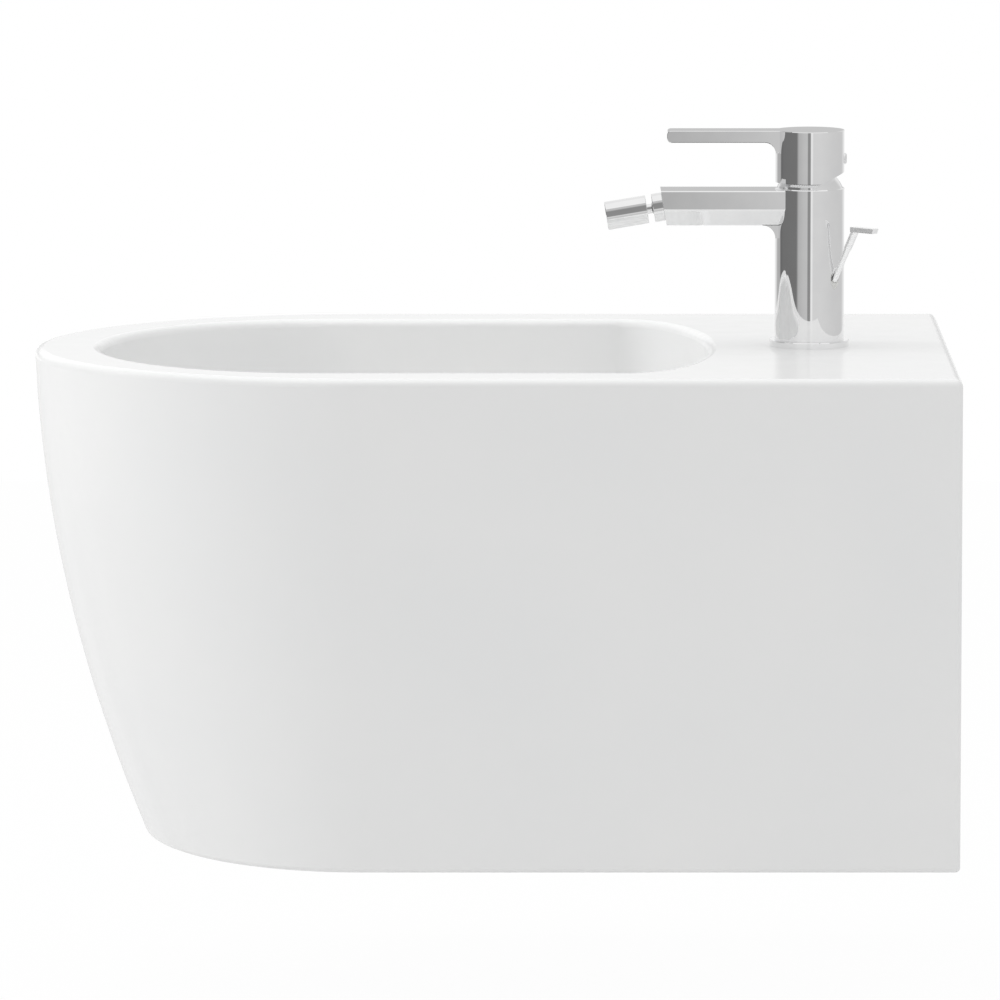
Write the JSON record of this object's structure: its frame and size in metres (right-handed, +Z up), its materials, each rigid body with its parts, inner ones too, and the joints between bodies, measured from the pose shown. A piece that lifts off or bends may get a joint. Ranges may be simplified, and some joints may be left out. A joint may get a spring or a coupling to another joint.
{
  "type": "wall-hung bidet",
  "caption": "Wall-hung glazed ceramic bidet with a D-shaped basin, single-lever mixer tap with ball-jointed nozzle, and a knob-operated pop-up waste.",
  "frame": {"origin": "midway between the two wall bolts, in the back face that meets the wall", "axes": "+X into the wall, -X to the front, +Z up"},
  "size_m": [0.5698, 0.37, 0.4375],
  "materials": {
    "glazed_ceramic": "high gloss vitreous glaze",
    "chrome": "polished chrome plate",
    "brass": "machined",
    "steel": "brushed stainless",
    "black_rubber": "matt rubber",
    "white_plastic": "moulded plastic",
    "grey_plastic": "moulded plastic",
    "disc_ceramic": "lapped ceramic"
  },
  "bodies": {
    "fixed_body": {"ceramic_body": "glazed_ceramic", "bolt_bushes": "white_plastic", "tap_body": "chrome", "base_ring": "chrome", "base_seal": "black_rubber", "rod_guide": "white_plastic", "mounting_stud": "steel", "under_gasket": "black_rubber", "horseshoe_washer": "steel", "mounting_nut": "brass", "cartridge_housing": "white_plastic", "fixed_disc": "disc_ceramic", "cartridge_nut": "brass", "dome_cover": "chrome", "aerator_collar": "chrome", "waste_flange": "chrome", "waste_seal": "black_rubber", "cone_gasket": "black_rubber", "waste_backnut": "brass", "waste_body": "chrome", "tailpipe": "chrome", "pivot_seat": "white_plastic", "pivot_nut": "grey_plastic"},
    "rotor": {"cartridge_rotor": "white_plastic", "pivot_pin": "steel"},
    "lever": {"lever_handle": "chrome", "lever_stem": "steel", "handle_grub_screw": "steel", "index_plug": "chrome"},
    "valve_disc": {"moving_disc": "disc_ceramic", "disc_driver": "white_plastic"},
    "seat_ring": {"ball_seat": "white_plastic"},
    "nozzle": {"nozzle_ball": "chrome", "nozzle_sleeve": "chrome", "aerator_insert": "grey_plastic"},
    "lift": {"lift_rod": "chrome", "lift_knob": "chrome"},
    "pull": {"pull_rod": "steel", "pull_link": "steel", "link_screw": "steel"},
    "pivot_lever": {"pivot_rod": "steel"},
    "plug": {"stopper": "chrome", "stopper_seal": "black_rubber"}
  },
  "joints": [
    {"name": "lever_turn", "type": "hinge", "parent": "fixed_body", "child": "rotor", "pos_m": [-0.0874, 0, 0.17], "axis": [0, 0, 1], "range_deg": [-50, 50]},
    {"name": "lever_lift", "type": "hinge", "parent": "rotor", "child": "lever", "pos_m": [-0.0874, 0, 0.17], "axis": [0, 1, 0], "range_deg": [0, 22]},
    {"name": "disc_slide", "type": "slide", "parent": "rotor", "child": "valve_disc", "axis": [-1, 0, 0], "range_m": [0, 0.00558]},
    {"name": "nozzle_swivel", "type": "hinge", "parent": "fixed_body", "child": "seat_ring", "pos_m": [-0.18096, 0, 0.16657], "axis": [-0.9863, 0, -0.165], "continuous": true},
    {"name": "nozzle_tilt", "type": "hinge", "parent": "seat_ring", "child": "nozzle", "pos_m": [-0.18096, 0, 0.16657], "axis": [0, 1, 0], "range_deg": [-18, 18]},
    {"name": "knob_lift", "type": "slide", "parent": "fixed_body", "child": "lift", "axis": [0.3428, -0.3428, 0.8746], "range_m": [0, 0.018]},
    {"name": "pull_slide", "type": "slide", "parent": "fixed_body", "child": "pull", "axis": [0, 0, 1], "range_m": [0, 0.01576]},
    {"name": "pivot_swing", "type": "hinge", "parent": "fixed_body", "child": "pivot_lever", "pos_m": [-0.194, 0, -0.108], "axis": [0, -1, 0], "range_deg": [0, 7.83]},
    {"name": "plug_slide", "type": "slide", "parent": "fixed_body", "child": "plug", "axis": [0, 0, -1], "range_m": [0, 0.00425]}
  ],
  "couplings": [
    {"joint": "disc_slide", "follows": "lever_lift", "m_per_rad": 0.0144},
    {"joint": "pull_slide", "follows": "knob_lift", "ratio": 0.87462},
    {"joint": "pivot_swing", "follows": "knob_lift", "rad_per_m": 7.5785},
    {"joint": "plug_slide", "follows": "knob_lift", "ratio": 0.23493}
  ]
}
